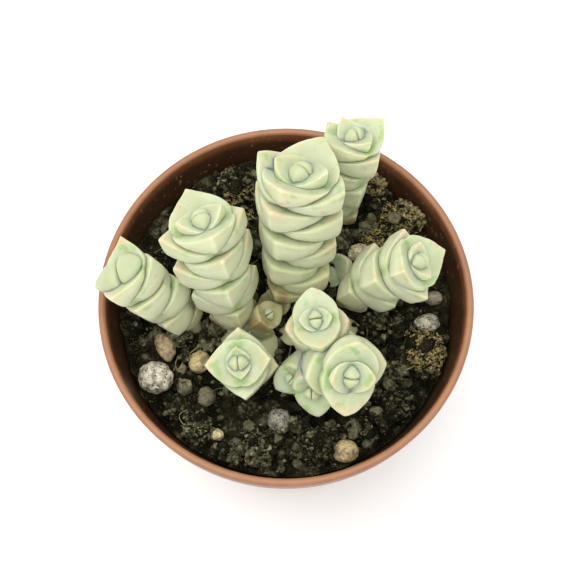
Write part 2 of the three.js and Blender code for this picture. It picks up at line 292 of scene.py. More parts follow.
def pot():
    collar_foot = POT_HEIGHT - COLLAR_HEIGHT
    lip = LIP_WIDTH / 2
    arc = [math.pi * k / 8 for k in range(9)]
    outline = [
        (GATE_RADIUS, FOOT_HEIGHT - GATE_HEIGHT),
        (GATE_RADIUS, FOOT_HEIGHT),
        (BASE_RADIUS - FOOT_WIDTH, FOOT_HEIGHT),
        (BASE_RADIUS - FOOT_WIDTH, 0),
        (BASE_RADIUS, 0),
        (inner_radius(collar_foot) + WALL, collar_foot),
        (RIM_RADIUS - COLLAR_TAPER, collar_foot),
        *[(RIM_RADIUS - lip + lip * math.cos(a), POT_HEIGHT - lip + lip * math.sin(a)) for a in arc],
        (inner_radius(FOOT_HEIGHT + FLOOR), FOOT_HEIGHT + FLOOR),
    ]
    body = turned("pot_shell", [(r * MM, z * MM) for r, z in outline], POT_SIDES)
    cutters = []
    for k in range(DRAIN_HOLES):
        angle = (k + 0.5) * 2 * math.pi / DRAIN_HOLES
        outward = Vector((math.cos(angle), math.sin(angle), 0))
        middle = outward * DRAIN_CIRCLE * MM + Vector((0, 0, (FOOT_HEIGHT + FLOOR / 2) * MM))
        bpy.ops.mesh.primitive_cylinder_add(
            vertices=32, radius=DRAIN_RADIUS * MM, depth=3 * FLOOR * MM, location=middle
        )
        cutters.append(bpy.context.object)
        edge = outward * (BASE_RADIUS - FOOT_WIDTH / 2) * MM
        bpy.ops.mesh.primitive_cube_add(size=1, location=edge, rotation=(0, 0, angle))
        bpy.context.object.scale = Vector((3 * FOOT_WIDTH, FOOT_NOTCH, 1.2 * FOOT_HEIGHT)) * MM
        cutters.append(bpy.context.object)
    cutter = joined("drain_cutter", cutters)
    modified(body, "BOOLEAN", object=cutter, operation="DIFFERENCE", solver="EXACT")
    bpy.data.objects.remove(cutter)
    modified(body, "BEVEL", width=EDGE_ROUND * MM, segments=2, limit_method="ANGLE", angle_limit=0.6)
    bpy.ops.object.shade_smooth_by_angle(angle=math.radians(35))
    body.data.materials.append(pot_plastic())
    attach(body, "root")
    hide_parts("pot")


pot()

# Shoots: each is a stem threaded through pairs of fleshy leaves, like beads, with a closed bud on
# top. The two leaves of a pair are grown together round the stem, and each pair stands across the
# one below. The leaves are variegated: cream and mint, green at their seams, pink at some tips.
SOIL_LEVEL = 41.3
SOIL_SLOPE = 0.06
LEAF_WIDTH = 0.8
CROWDING = 1.25
STEM_DEPTH = 6
STEM_RADIUS = 1.3
LOWEST_PAIR = 2.6
HEAD_DROP = 0.45
TURN_SPREAD = 10
PAIR_RISE = 0.36
INNER_DROP = 0.32
INNER_RISE = 0.6
INNER_DEPTH = 0.2
BUD_DROP = 0.28
BUD_SIZE = (0.32, 0.32)
BUD_WIDTH = 0.8
BUD_HEIGHT = 0.26
LARGE_BUD_HEIGHT = 0.32
LEAF_RELIEF = 0.22
# Foot and top are places, reach is a leaf's length at the foot, middle and top of a shoot, and roll
# is the heading of its top pair. Inner and bud are shares of that pair's reach. A soft shoot has
# rounder tips. Loose leaves have a place, a reach, a heading, a tilt and an age.
SHOOTS = {
    "stem_far_left": [
        dict(foot=(-14.4, -1.4), top=(-24.2, 1.9, 57), lean=0.35, reach=(3.5, 5.4, 5.2),
             pairs=6, roll=96, bud=(0.72, 0.98)),
    ],
    "stem_left_big": [
        dict(foot=(-7.4, -1.2), top=(-12.2, 7.6, 64), lean=0.4, reach=(3.8, 6.3, 6.4),
             pairs=8, roll=112, inner=0.55,
             loose=[(-9.6, -2.6, 42, 3.2, 230, 40, 1), (-3.6, -4.6, 41.8, 3.2, -60, 38, 0.9)]),
        dict(foot=(-5.6, -2.6), top=(-2, -1.4, 46.6), lean=0.1, reach=(2.6, 2.9, 3),
             pairs=2, roll=40, oldest=1),
    ],
    "stem_centre": [
        dict(foot=(1.2, 4.2), top=(2.1, 14, 66), lean=0.4, reach=(5.4, 6.6, 6.9),
             pairs=9, roll=60, inner=0.6, soft=0.35,
             loose=[(7.4, 6.2, 43.2, 3.2, 15, -38, 0.1), (4.6, 0.6, 42, 3.4, -50, 30, 1),
                    (-1.8, 1.2, 42, 3.2, 215, 34, 1)]),
    ],
    "stem_back_right": [
        dict(foot=(8, 15.4), top=(10, 21.6, 60.5), lean=0.5, reach=(3.6, 4.9, 5.4),
             pairs=6, roll=34, inner=0.62),
    ],
    "stem_right": [
        dict(foot=(9.2, 2.4), top=(19.8, 2.8, 58), lean=0.5, reach=(3.3, 5.5, 5.5),
             pairs=6, roll=24, inner=0.5),
    ],
    "stem_front_left": [
        dict(foot=(-5.5, -8.6), top=(-6.9, -11.3, 54), lean=0.5, reach=(3.6, 5.4, 4.9),
             pairs=4, roll=4, inner=0.5),
    ],
    "stem_front_cluster": [
        dict(foot=(6.2, -6.4), top=(9.3, -14.8, 57.5), lean=0.5, reach=(4, 5.8, 5.4),
             pairs=4, roll=92, inner=0.6, soft=0.55),
        dict(foot=(5.4, -5.2), top=(4, -6, 58.5), lean=0.5, reach=(4.2, 4.8, 4.5),
             pairs=4, roll=97, inner=0.52, soft=0.5,
             loose=[(8.8, -3.2, 42.2, 3.4, 20, 42, 1), (1.6, -3.2, 42, 3, 160, 36, 0.9)]),
        dict(foot=(5.4, -7), top=(3.5, -15.8, 51.5), lean=0.6, reach=(2.8, 3.6, 4),
             pairs=2, roll=95, soft=0.6),
        dict(foot=(4.6, -6.4), top=(0.3, -12.8, 48.8), lean=0.6, reach=(2, 3, 3.3),
             pairs=2, roll=40, soft=0.6),
    ],
}
LEAF_CREAM = (0.47, 0.48, 0.31, 1)
LEAF_WHITE = (0.50, 0.55, 0.38, 1)
LEAF_UNDER_LIGHT = (0.76, 0.80, 0.58, 1)
LEAF_MINT = (0.39, 0.49, 0.27, 1)
LEAF_GREEN = (0.26, 0.42, 0.15, 1)
LEAF_YELLOW = (0.56, 0.54, 0.27, 1)
LEAF_PINK = (0.60, 0.38, 0.27, 1)
LEAF_OLD = (0.36, 0.33, 0.16, 1)
LEAF_DRY = (0.28, 0.20, 0.10, 1)
BUD_GREY_AND_SHADE = (0.40, 0.43, 0.26, 1)


def soil_height(x, y):
    """Height of the bare soil in millimetres: it climbs towards the back, in low hummocks."""
    hummocks = 0.35 * math.sin(0.45 * x + 1.3) * math.cos(0.38 * y - 0.7)
    return SOIL_LEVEL + SOIL_SLOPE * y + hummocks


def random_from(seed):
    """Repeatable random numbers from 0 to 1."""
    state = seed

    def draw():
        nonlocal state
        state = (state * 1664525 + 1013904223) % 4294967296
        return state / 4294967296

    return draw


def roughened(thing, kind, size, strength):
    """Pushes a surface in and out by a procedural texture with features of a size in millimetres."""
    texture = bpy.data.textures.new(f"{kind} {size}", kind)
    texture.noise_scale = size * MM
    modified(thing, "DISPLACE", texture=texture, strength=strength * MM, mid_level=0.5)


def fused(name, parts):
    """One object from placed copies of shapes: each part is its points, in millimetres, its faces,
    and the values of its attributes."""
    points, faces, values = [], [], {}
    start = 0
    for part_points, part_faces, part_values in parts:
        points.append(part_points)
        faces.extend(tuple(start + i for i in face) for face in part_faces)
        start += len(part_points)
        for key, value in part_values.items():
            values.setdefault(key, []).append(np.broadcast_to(value, len(part_points)))
    mesh = bpy.data.meshes.new(name)
    mesh.from_pydata((np.concatenate(points) * MM).tolist(), [], faces)
    for key, lists in values.items():
        kept = mesh.attributes.new(key, "FLOAT", "POINT")
        kept.data.foreach_set("value", np.concatenate(lists).astype(np.float32))
    made = bpy.data.objects.new(name, mesh)
    bpy.context.collection.objects.link(made)
    return made


def leaf_finish():
    constants = {"IOR": 1.4, "Subsurface Weight": 0.85, "Subsurface Scale": 2.8 * MM}
    material, shader, place = new_finish("leaf", constants)
    shader.inputs["Subsurface Radius"].default_value = (1, 0.9, 0.5)

    def kept(name):
        return place.node("ShaderNodeAttribute", {}, output=2, attribute_name=name)

    share, tip, age = kept("share"), kept("tip"), kept("age")
    chance, under, bud = kept("chance"), kept("under"), kept("bud")
    cloud = speckle(place, 3.5, 3)
    streak = speckle(place, 1.3, 4)
    fine = speckle(place, 0.35, 3)
    heart = (1 - ease(share, 0.25, 0.85)) * ease(streak + 0.25 * chance, 0.35, 0.75)
    seam = (1 - ease(tip, 0.05, 0.34)) * ease(share, 0.45, 0.8) * ease(cloud + 0.3 * chance, 0.35, 0.7)
    margin = ease(share, 0.80, 0.97)
    blush = ease(tip, 0.72, 0.92) * ease(share, 0.70, 0.9) * ease(chance, 0.35, 0.8) * (1 - under)
    upper = 1 - ease(under, 0.5, 0.9)
    smear = ease(speckle(place, 2.1, 2), 0.56, 0.68) * ease(share, 0.5, 0.7) * upper
    spot = ease(speckle(place, 1.4, 1), 0.62, 0.72) * ease(tip, 0.5, 0.8) * ease(share, 0.6, 0.8)
    colour = blended(ease(cloud, 0.35, 0.65), LEAF_CREAM, LEAF_WHITE)
    colour = blended(ease(streak, 0.4, 0.75) * 0.5, colour, LEAF_MINT)
    colour = blended(heart * 0.55, colour, LEAF_MINT)
    # The undersides are painted much paler: painted light that lifts the shade between the pairs.
    colour = blended(under * 0.75, colour, LEAF_UNDER_LIGHT)
    colour = blended(seam * 0.75, colour, LEAF_GREEN)
    colour = blended(smear * 0.7, colour, LEAF_GREEN)
    colour = blended(ease(age, 0.55, 1) * 0.6, colour, LEAF_YELLOW)
    colour = blended(margin * 0.45, colour, LEAF_CREAM)
    colour = blended(blush * ease(fine, 0.3, 0.6) * 0.5, colour, LEAF_PINK)
    colour = blended(spot * 0.55, colour, LEAF_PINK)
    colour = blended(ease(age + 0.25 * cloud, 0.95, 1.15) * 0.6, colour, LEAF_OLD)
    colour = blended(ease(age, 0.9, 1) * ease(cloud, 0.46, 0.62) * 0.9, colour, LEAF_DRY)
    # Buds are painted greyer and darker: their own grey-green tint and painted shade, as they sit deep
    # in the head.
    colour = blended(bud * 0.5, colour, BUD_GREY_AND_SHADE)
    painted(shader, "Base Color", colour)
    painted(shader, "Roughness", 0.36 + 0.2 * fine)
    bumped(shader, fine * 0.5 + streak * 0.5, 0.06)
    return material


leaf_material = leaf_finish()


def cubic(u, a, b, c, d):
    """Cubic Bezier curve of one coordinate."""
    v = 1 - u
    return v**3 * a + 3 * v * v * u * b + 3 * v * u * u * c + u**3 * d


def leaf_pair_blank():
    """The body that leaf pairs are shaped from: a lens one unit in radius, dished above and swelling
    below. Its points are the share of the outline, the angle and the drop below the upper face."""
    upper = [(0.12, 0.0), (0.35, 0.0), (0.6, 0.0), (0.82, 0.01)]
    margin = [(0.96, 0.03), (1.0, 0.12), (0.998, 0.32)]
    flank = [(0.985, 0.58), (0.95, 0.82), (0.84, 0.98), (0.55, 1.06), (0.2, 1.1)]
    blank = turned("leaf_pair_blank", [(r, -z) for r, z in upper + margin + flank], 32)
    modified(blank, "SUBSURF", levels=1, render_levels=1)
    points = np.array([v.co for v in blank.data.vertices])
    share = np.hypot(points[:, 0], points[:, 1])
    faces = [tuple(p.vertices) for p in blank.data.polygons]
    bpy.data.objects.remove(blank)
    return share / share.max(), np.arctan2(points[:, 1], points[:, 0]), -points[:, 2], faces


SHARE, ANGLE, DROP, PAIR_FACES = leaf_pair_blank()


def leaf_pair(reach, rise, depth, draw, soft=0):
    """Points of one pair in its own frame, in millimetres, and the values of its attributes. A soft
    pair, of 0 to 1, has rounder tips."""
    fold = np.arctan2(np.abs(np.sin(ANGLE)), np.abs(np.cos(ANGLE))) / (math.pi / 2)
    pointed = SHARE**1.5 * (1 - soft)
    tip_shoulder = 0.98 - 0.20 * pointed
    side_shoulder = 0.58 - 0.08 * pointed
    along = cubic(fold, 1, tip_shoulder, side_shoulder, 0) * np.sign(np.cos(ANGLE))
    across = cubic(fold, 0, 0.45 - 0.09 * pointed + 0.16 * soft, 0.96, 0.92) * np.sign(np.sin(ANGLE))
    leaf = (along > 0).astype(int)
    upper = 1 - np.clip((DROP - 0.1) / 0.3, 0, 1)
    seam = np.exp(-((along / 0.13) ** 2)) * np.clip((SHARE - 0.3) / 0.6, 0, 1)
    length = np.array([0.96 + 0.06 * draw(), 0.96 + 0.06 * draw()])[leaf]
    bend = np.array([0.14 * draw() - 0.07, 0.14 * draw() - 0.07])[leaf]
    curl = np.array([0.12 * draw() - 0.06, 0.12 * draw() - 0.06])[leaf]
    phase = 2 * math.pi * draw()
    chance = np.array([draw(), draw()])[leaf]
    tip = np.abs(along)
    dish = rise * reach * SHARE**2 * (0.3 + 0.7 * along**2)
    plump = 0.10 * reach * np.sin(math.pi * SHARE) * tip * upper
    overlap = 0.7 * rise * reach * SHARE**2 * (along**2 - (LEAF_WIDTH * across) ** 2)
    thickness = np.maximum(depth + overlap, 0.4 * depth)
    wave = 0.025 * reach * np.sin(3 * ANGLE + phase) * SHARE**3
    curled = curl * reach * (tip * SHARE) ** 3
    x = along * SHARE * reach * length
    y = across * SHARE * reach * LEAF_WIDTH * (1 - 0.06 * seam) + bend * reach * (tip * SHARE) ** 2
    z = dish + plump + wave + curled - DROP * thickness - 0.05 * reach * seam * upper
    values = {"share": SHARE, "tip": tip, "under": 1 - upper, "chance": chance, "bud": 0.0}
    return np.column_stack((x, y, z)), values


def ball_shape(segments, rings):
    bpy.ops.object.select_all(action="DESELECT")
    bpy.ops.mesh.primitive_uv_sphere_add(segments=segments, ring_count=rings, radius=1)
    ball = bpy.context.object
    points = np.array([v.co for v in ball.data.vertices])
    faces = [tuple(p.vertices) for p in ball.data.polygons]
    bpy.data.objects.remove(ball)
    return points, faces


BALL_POINTS, BALL_FACES = ball_shape(28, 16)


def bud_leaf(reach, width, height, side):
    """One of a bud's two closed leaves: half a ball drawn out to a point, flat and a little rounded
    at the slit."""
    slit = 0.03 * width
    x, y, z = BALL_POINTS.T
    out = slit + (reach - slit) * ((1 + x) / 2) ** 1.9
    narrowed = ((1 - x) / 2) ** 0.18
    top = height * (1 - 0.25 * out / reach)
    return np.column_stack((side * out, side * y * width * narrowed, z * top))


class Stem:
    """The curve of a stem from the soil to the tip of its bud, in millimetres."""

    def __init__(self, plan):
        x, y = plan["foot"]
        start = np.array([x, y, soil_height(x, y)])
        end = np.array(plan["top"], float)
        knee = (start + end) / 2
        knee += plan["lean"] * (np.array([x, y, knee[2]]) - knee)
        self.controls = start, knee, end
        steps = np.linspace(0, 1, 201)[:, None]
        points = (1 - steps) ** 2 * start + 2 * steps * (1 - steps) * knee + steps**2 * end
        gone = np.concatenate(([0], np.cumsum(np.linalg.norm(np.diff(points, axis=0), axis=1))))
        self.length = gone[-1]
        self.steps = steps[:, 0]
        self.shares = gone / self.length

    def frame(self, share, roll):
        """Point and axes of the stem at a share of its length, turned by roll degrees about it."""
        start, knee, end = self.controls
        t = np.interp(share, self.shares, self.steps)
        point = (1 - t) ** 2 * start + 2 * t * (1 - t) * knee + t * t * end
        axis = (1 - t) * (knee - start) + t * (end - knee)
        axis /= np.linalg.norm(axis)
        aim = np.array([math.cos(math.radians(roll)), math.sin(math.radians(roll)), 0])
        across = np.cross(axis, aim)
        across /= np.linalg.norm(across)
        return point, np.array([np.cross(across, axis), across, axis])


def placed(points, frame):
    origin, axes = frame
    return points @ axes + origin


def stalk(stem):
    """The stem under its leaves, from its buried end to the lowest pair."""
    rings, sides = 12, 20
    points = []
    for k in range(rings):
        share = LOWEST_PAIR / stem.length * max(0, (k - 4) / (rings - 5))
        origin, axes = stem.frame(share, 0)
        origin = origin - axes[2] * STEM_DEPTH * max(0, (4 - k) / 4)
        swell = STEM_RADIUS * (1 + 0.06 * math.sin(2.2 * k))
        for s in range(sides):
            a = 2 * math.pi * s / sides
            points.append(origin + swell * (math.cos(a) * axes[0] + math.sin(a) * axes[1]))
    faces = [tuple(reversed(range(sides))), tuple((rings - 1) * sides + s for s in range(sides))]
    for k in range(rings - 1):
        for s in range(sides):
            a, b = k * sides + s, k * sides + (s + 1) % sides
            faces.append((a, b, b + sides, a + sides))
    return np.array(points), faces


def shoot(plan, seed):
    """The parts of one shoot, from the ground up."""
    draw = random_from(seed)
    stem = Stem(plan)
    length, pairs, roll = stem.length, plan["pairs"], plan["roll"]
    soft = plan.get("soft", 0)
    low, middle, high = plan["reach"]
    first = LOWEST_PAIR / length
    last = 1 - HEAD_DROP * high / length
    plain = {"share": 0.5, "tip": 0.5, "under": 1.0, "chance": 0.5, "bud": 0.0}

    def place_of(climb):
        return last - (last - first) * (1 - climb) ** CROWDING

    points, faces = stalk(stem)
    parts = [(points, faces, {**plain, "age": 1.0})]
    detail = random_from(seed + 500)
    for i in range(pairs):
        climb = i / (pairs - 1)
        reach = np.interp(climb, (0, 0.5, 1), (low, middle, high)) * (0.96 + 0.08 * draw())
        turn = roll + 90 * (pairs - 1 - i) + TURN_SPREAD * (draw() - 0.5)
        rise = PAIR_RISE + 0.1 * climb + 0.06 * draw()
        place = place_of(climb)
        below = place_of(climb - 1 / (pairs - 1))
        depth = (place - below) * length if i else 0.7 * LOWEST_PAIR
        points, values = leaf_pair(reach, rise, depth, detail, soft)
        age = max((1 - climb) ** 1.3, plan.get("oldest", 0))
        parts.append((placed(points, stem.frame(place, turn)), PAIR_FACES, {**values, "age": age}))
    inner = plan.get("inner")
    if inner:
        points, values = leaf_pair(inner * high, INNER_RISE, INNER_DEPTH * high, detail, soft)
        seat = stem.frame(1 - INNER_DROP * high / length, roll + 90)
        parts.append((placed(points, seat), PAIR_FACES, {**values, "age": 0.0}))
    crown = stem.frame(1 - BUD_DROP * high / length, roll + (0 if inner else 90))
    sizes = plan.get("bud", BUD_SIZE)
    width = BUD_WIDTH * min(sizes) * high
    height = (LARGE_BUD_HEIGHT if "bud" in plan else BUD_HEIGHT) * high
    for side, size in zip((-1, 1), sizes):
        points = placed(bud_leaf(size * high, width, height, side), crown)
        parts.append((points, BALL_FACES, {**plain, "under": 0.0, "bud": 1.0, "age": 0.0}))
    return parts


def loose_leaves(plan, seed):
    """Old leaves at a shoot's foot, in pairs that are half sunk in the soil."""
    detail = random_from(seed)
    parts = []
    for x, y, z, reach, roll, tilt, age in plan.get("loose", []):
        turn, slope = math.radians(roll), math.radians(tilt)
        aim = np.array([math.cos(turn), math.sin(turn), 0])
        up = np.array([0, 0, 1])
        axis = math.cos(slope) * up + math.sin(slope) * aim
        along = math.cos(slope) * aim - math.sin(slope) * up
        axes = np.array([along, np.cross(axis, along), axis])
        points, values = leaf_pair(reach, 0.3, 0.35 * reach, detail, 0.5)
        parts.append((placed(points, (np.array([x, y, z]), axes)), PAIR_FACES, {**values, "age": age}))
    return parts


def leafy_stem(node, plans, seed):
    parts = []
    for k, plan in enumerate(plans):
        parts.extend(shoot(plan, seed + k))
        parts.extend(loose_leaves(plan, seed + k))
    plant = fused(node.replace("stem", "shoot"), parts)
    roughened(plant, "CLOUDS", 1.8, LEAF_RELIEF)
    only(plant)
    bpy.ops.object.shade_smooth()
    plant.data.materials.append(leaf_material)
    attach(plant, "root")
    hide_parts(node)


for k, (node, plans) in enumerate(SHOOTS.items()):
    leafy_stem(node, plans, 11 + 10 * k)

# Pumice and grit stones: four pale, porous pumice pebbles and seven brown or tan grit stones lie
# half sunk in the soil, as they fell when the pot was filled. Each has a place, a size, a turn and
# a colour.
STONE_CUTS = 9
STONE_LIFT = 0.12
STONES = {
    "pumice_left": ((-19.3, -10), (5.2, 5, 4.2), 0, (0.46, 0.42, 0.31, 1)),
    "pumice_front": ((-1, -16.4), (3.5, 3.7, 3), 0, (0.24, 0.22, 0.17, 1)),
    "pumice_right": ((21.1, -1.6), (3.9, 2.8, 2.8), 0, (0.42, 0.39, 0.29, 1)),
    "pumice_back": ((11, 9.4), (4.6, 2.6, 2.4), 10, (0.50, 0.44, 0.26, 1)),
    "grit_left": ((-18, -5.2), (2.8, 4.8, 2.8), 24, (0.34, 0.25, 0.14, 1)),
    "grit_inner_left": ((-12.9, -7.4), (3.4, 3.6, 2.8), 0, (0.38, 0.30, 0.14, 1)),
    "grit_dark": ((-11.8, -12.8), (2.9, 3.1, 2.6), 0, (0.12, 0.105, 0.065, 1)),
    "grit_yellow": ((-10.2, -18.4), (2.3, 1.9, 1.8), 0, (0.50, 0.43, 0.22, 1)),
    "grit_front": ((-5.2, -22), (1.9, 1.8, 1.6), 0, (0.34, 0.22, 0.10, 1)),
    "grit_front_right": ((8.7, -20.9), (3.8, 3.5, 2.8), 0, (0.44, 0.33, 0.17, 1)),
    "grit_right": ((22.2, 2.4), (3, 2.2, 2.2), 0, (0.26, 0.23, 0.16, 1)),
}


def lump(size, detail):
    """A ball that takes the place of a lump, with its sizes in millimetres."""
    bpy.ops.object.select_all(action="DESELECT")
    bpy.ops.mesh.primitive_ico_sphere_add(subdivisions=detail, radius=0.5)
    ball = bpy.context.object
    bpy.ops.object.mode_set(mode="EDIT")
    bpy.ops.transform.resize(value=Vector(size) * MM, center_override=(0, 0, 0))
    bpy.ops.object.mode_set(mode="OBJECT")
    return ball


def stone_finish(name, colour, porous):
    material, shader, place = new_finish(f"{name} stone", {"Roughness": 0.88})
    dirt = ease(speckle(place, 1.1, 4), 0.42, 0.66)
    grain = speckle(place, 0.3, 2)
    pits = place.node(
        "ShaderNodeTexVoronoi", {"Vector": place, "Scale": 1 / (0.55 * MM)}, feature="F1"
    )
    hollow = (1 - ease(pits, 0.16, 0.34)) * porous
    pale = tuple(min(1, 1.5 * c) for c in colour[:3]) + (1,)
    dark = tuple(0.18 * c for c in colour[:3]) + (1,)
    tint = blended(ease(grain, 0.45, 0.62), colour, pale)
    tint = blended(dirt * 0.72, tint, dark)
    # The pits are painted dark: painted shade in the pores.
    tint = blended(hollow, tint, dark)
    painted(shader, "Base Color", tint)
    bumped(shader, grain * 0.4 - hollow, 0.12)
    return material


def stone(name, at, size, turn, colour, seed):
    """A pebble: a ball cut by a few random planes, remeshed, then worn and roughened."""
    draw = random_from(seed)
    ball = lump(size, 4)
    bpy.ops.object.mode_set(mode="EDIT")
    for _ in range(STONE_CUTS):
        around = 2 * math.pi * draw()
        lift = 2 * draw() - 1
        flat = math.sqrt(1 - lift * lift)
        normal = Vector((flat * math.cos(around), flat * math.sin(around), lift))
        reach = Vector(0.5 * s * n for s, n in zip(size, normal)).length
        cut = normal * reach * (0.82 + 0.14 * draw()) * MM
        bpy.ops.mesh.select_all(action="SELECT")
        bpy.ops.mesh.bisect(plane_co=cut, plane_no=normal, clear_outer=True)
    bpy.ops.mesh.select_all(action="SELECT")
    bpy.ops.mesh.convex_hull()
    bpy.ops.mesh.normals_make_consistent(inside=False)
    bpy.ops.object.mode_set(mode="OBJECT")
    x, y = at
    ball.location = Vector((x, y, soil_height(x, y) + STONE_LIFT * size[2])) * MM
    ball.rotation_euler.z = math.radians(turn)
    joined(f"{name}_rock", [ball])
    porous = name.startswith("pumice")
    modified(ball, "REMESH", mode="VOXEL", voxel_size=0.14 * MM)
    modified(ball, "SMOOTH", iterations=4, factor=0.5)
    roughened(ball, "CLOUDS", 1.3, 0.35)
    roughened(ball, "VORONOI", 0.7, 0.28 if porous else 0.1)
    only(ball)
    bpy.ops.object.shade_smooth()
    ball.data.materials.clear()
    ball.data.materials.append(stone_finish(name, colour, 1 if porous else 0.25))
    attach(ball, "root")
    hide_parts(name)


for k, (name, (at, size, turn, colour)) in enumerate(STONES.items()):
    stone(name, at, size, turn, colour, k + 1)

# Soil: damp dark compost mixed with grit, filled to 7 mm under the lip and higher at the back. Its
# crust is crumbly, with clods, loose crumbs and fine bright grit, patches of dry moss and some root
# hairs. A clod has a place, a width and a depth, and a mossy patch a place and a radius.
SOIL_SIDES = 168
SOIL_RINGS = 64
CRUST_SINK = 0.9
CLODS = [
    (-13.2, -17.6, 4.6, 4.2), (-4.1, -20.6, 5, 5.2), (4.4, -20.2, 5.6, 5), (21, -6.4, 5, 6.8),
    (18, 15, 7.6, 5), (13.6, 20.6, 3, 5), (-7.6, 19.6, 7, 6.4), (-15.8, -3.6, 3.6, 2.8),
    (16.6, -2.2, 2.6, 2.4), (10.2, -17, 4.2, 3.2), (-20.6, 6.4, 4, 5), (16.4, -13.8, 4.2, 4.6),
]
CLOD_TONES = (0.42, 0.5, 0.3, 0.36)
MOSSY_CLODS = {3: 0.9, 4: 0.6, 5: 0.9}
LOOSE_CLODS = 70
CRUMBS = 520
GRITS = 2000
FUZZ = 3200
ROOT_HAIRS = 26
ROOT_RADIUS = 23
MOSS_BITS = 2000
MOSSY = [
    (21, -6.4, 3), (19.6, -4.2, 2), (18, 15, 3.6), (14, 20, 2.2), (13.2, 12.6, 2), (-7, 16.6, 2.6),
]
CRUST_RELIEF = (("CLOUDS", 3.6, 3.2), ("VORONOI", 1.8, -2.2), ("CLOUDS", 0.6, 0.8))
SOIL_BLACK = (0.006, 0.006, 0.003, 1)
SOIL_BROWN = (0.022, 0.019, 0.009, 1)
SOIL_GREY = (0.13, 0.125, 0.072, 1)
SOIL_TAN = (0.32, 0.27, 0.15, 1)
MOSS = (0.38, 0.29, 0.11, 1)


def is_free(x, y, radius):
    """Whether a crumb is clear of the stems and the stones."""
    for plan in sum(SHOOTS.values(), []):
        if math.dist((x, y), plan["foot"]) < STEM_RADIUS + 0.5 + radius:
            return False
    for at, size, turn, colour in STONES.values():
        if math.dist((x, y), at) < 0.42 * max(size[:2]) + 0.6 * radius:
            return False
    return True


def soil_finish():
    material, shader, place = new_finish("soil", {"Roughness": 0.95, "Specular IOR Level": 0.06})
    tone = place.node("ShaderNodeAttribute", {}, output=2, attribute_name="tone")
    moss = place.node("ShaderNodeAttribute", {}, output=2, attribute_name="moss")
    coarse = speckle(place, 2.2)
    fine = speckle(place, 0.45, 4)
    light = coarse * 0.45 + fine * 0.45 + tone * 0.55
    stops = [(0.44, SOIL_BLACK), (0.60, SOIL_BROWN), (0.80, SOIL_GREY), (1.0, SOIL_TAN)]
    colour = place.node("ShaderNodeValToRGB", {0: light}, stops=stops)
    sparkle = ease(speckle(place, 0.22, 1), 0.70, 0.76)
    colour = blended(sparkle * 0.6, colour, SOIL_TAN)
    colour = blended(ease(fine, 0.4, 0.62) * moss, colour, MOSS)
    painted(shader, "Base Color", colour)
    bumped(shader, fine, 0.12)
    return material


soil_material = soil_finish()


def stored(thing, name, values):
    """Keeps a value for each point of a mesh."""
    kept = thing.data.attributes.get(name) or thing.data.attributes.new(name, "FLOAT", "POINT")
    count = len(thing.data.vertices)
    kept.data.foreach_set("value", np.broadcast_to(values, count).astype(np.float32))


def points_of(thing):
    """Points of a mesh in millimetres."""
    return np.array([vertex.co for vertex in thing.data.vertices]) / MM


def kept_in_pot(thing):
    """Brings the points of a mesh that reach past the pot's inner wall back to it."""
    points = points_of(thing)
    limits = inner_radius(points[:, 2]) - 0.1
    radii = np.maximum(np.hypot(points[:, 0], points[:, 1]), 1)
    points[:, :2] *= np.minimum(1, limits / radii)[:, None]
    thing.data.vertices.foreach_set("co", (points * MM).ravel())
    thing.data.update()


def finished_soil(thing, rounded=True):
    """Gives a piece of the soil its shading, its material and its place in the frame."""
    only(thing)
    if rounded:
        bpy.ops.object.shade_smooth()
    else:
        bpy.ops.object.shade_flat()
    thing.data.materials.clear()
    thing.data.materials.append(soil_material)
    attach(thing, "root")


def soil_fill():
    bed = FOOT_HEIGHT + FLOOR + 0.3
    brim = inner_radius(SOIL_LEVEL) - 0.1
    rings = [(brim * (k + 1) / SOIL_RINGS, SOIL_LEVEL) for k in range(SOIL_RINGS)]
    walls = [(inner_radius(z) - 0.1, z) for z in (37, 24, bed)]
    fill = turned("soil_fill", [(r * MM, z * MM) for r, z in rings + walls], SOIL_SIDES)
    crust = fill.vertex_groups.new(name="crust")
    for vertex in fill.data.vertices:
        x, y, z = vertex.co / MM
        if z > SOIL_LEVEL - 0.1:
            vertex.co.z = (soil_height(x, y) - CRUST_SINK) * MM
            crust.add([vertex.index], 1 if is_free(x, y, 0.8) else 0.2, "REPLACE")
    for kind, size, strength in CRUST_RELIEF:
        texture = bpy.data.textures.new(f"crust {kind} {size}", kind)
        texture.noise_scale = size * MM
        modified(
            fill, "DISPLACE", texture=texture, strength=strength * MM, mid_level=0.4,
            direction="Z", vertex_group="crust",
        )
    kept_in_pot(fill)
    # The crust is painted lighter where it rises and darker in its dips: painted light and painted
    # shade.
    points = points_of(fill)
    hollows = points[:, 2] - [soil_height(x, y) - CRUST_SINK for x, y, z in points]
    stored(fill, "tone", np.clip(0.1 + 0.35 * hollows, 0, 0.5))
    stored(fill, "moss", 0)
    finished_soil(fill)
    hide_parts("soil")
    return fill


